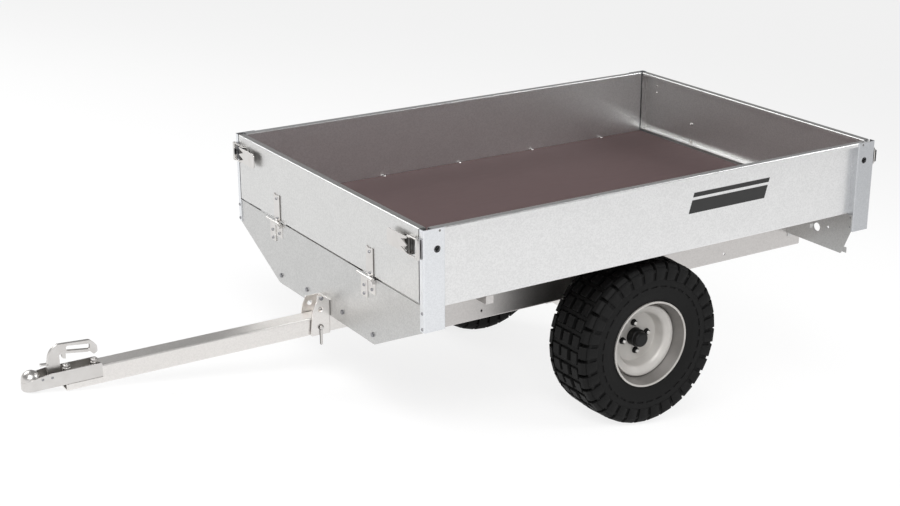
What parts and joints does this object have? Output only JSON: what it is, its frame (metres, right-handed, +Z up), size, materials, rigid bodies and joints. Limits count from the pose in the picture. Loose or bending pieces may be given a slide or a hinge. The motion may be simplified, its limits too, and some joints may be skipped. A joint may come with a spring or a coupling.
{
  "type": "tipping utility trailer",
  "caption": "Galvanised tipping utility trailer: open sheet bed with folding front gate and tailgate, square drawbar with a ball coupling, wide low tyres.",
  "frame": {"origin": "on the ground, under the middle of the trailer's length and width as it is parked", "axes": "+X forward to the coupling, +Y to the trailer's left, +Z up; the bed and drawbar are pitched nose-down by 10.7 degrees, resting on the coupling"},
  "size_m": [2.7174, 1.25, 0.9978],
  "materials": {
    "galvanised_sheet": "hot-dip galvanised sheet, satin",
    "galvanised_frame": "hot-dip galvanised steel, satin",
    "zinc_plate": "bright zinc plate",
    "bare_steel": "turned steel",
    "plywood": "brown film-faced plywood",
    "tyre": "matt black rubber",
    "rim_paint": "silver paint",
    "black_paint": "black paint"
  },
  "bodies": {
    "chassis": {"drawbar": "galvanised_frame", "axle_tube": "galvanised_frame", "axle_saddle": "galvanised_frame", "stub_axles": "bare_steel", "coupling_body": "zinc_plate", "coupling_handle": "zinc_plate", "coupling_bolts": "zinc_plate"},
    "front_gate": {"front_gate": "galvanised_sheet", "front_gate_straps": "zinc_plate", "front_gate_latches": "zinc_plate"},
    "tailgate": {"tailgate": "galvanised_sheet", "tailgate_straps": "zinc_plate", "tailgate_latches": "zinc_plate"},
    "wheel_left": {"tyre_left": "tyre", "rim_left": "rim_paint", "hub_left": "black_paint"},
    "wheel_right": {"tyre_right": "tyre", "rim_right": "rim_paint", "hub_right": "black_paint"},
    "bed": {"floor_board": "plywood", "side_panel_left": "galvanised_sheet", "side_panel_right": "galvanised_sheet", "corner_post_front_left": "galvanised_sheet", "corner_post_front_right": "galvanised_sheet", "corner_post_rear_left": "galvanised_sheet", "corner_post_rear_right": "galvanised_sheet", "front_panel": "galvanised_sheet", "rear_panel": "galvanised_sheet", "rear_gusset_left": "galvanised_sheet", "rear_gusset_right": "galvanised_sheet", "beam_left": "galvanised_frame", "beam_right": "galvanised_frame", "crossbars": "galvanised_frame", "outriggers": "galvanised_frame", "pivot_crossbar": "galvanised_frame", "pivot_lugs": "galvanised_frame", "pivot_bolt": "zinc_plate", "lock_bracket": "galvanised_frame", "lock_pin": "zinc_plate", "front_hinge_leaves": "zinc_plate", "rear_hinge_leaves": "zinc_plate", "front_latch_catches": "zinc_plate", "rear_latch_catches": "zinc_plate"}
  },
  "joints": [
    {"name": "bed_tip", "type": "hinge", "parent": "chassis", "child": "bed", "pos_m": [-0.69221, 0, 0.39572], "axis": [0, -1, 0], "range_deg": [0, 30]},
    {"name": "front_gate_fold", "type": "hinge", "parent": "bed", "child": "front_gate", "pos_m": [0.42826, 0, 0.43337], "axis": [0, 1, 0], "range_deg": [0, 150]},
    {"name": "tailgate_fold", "type": "hinge", "parent": "bed", "child": "tailgate", "pos_m": [-1.33947, 0, 0.76734], "axis": [0, -1, 0], "range_deg": [0, 180]},
    {"name": "wheel_left_spin", "type": "hinge", "parent": "chassis", "child": "wheel_left", "pos_m": [-0.51072, 0.457, 0.279], "axis": [0, 1, 0], "continuous": true},
    {"name": "wheel_right_spin", "type": "hinge", "parent": "chassis", "child": "wheel_right", "pos_m": [-0.51072, -0.457, 0.279], "axis": [0, 1, 0], "continuous": true}
  ]
}
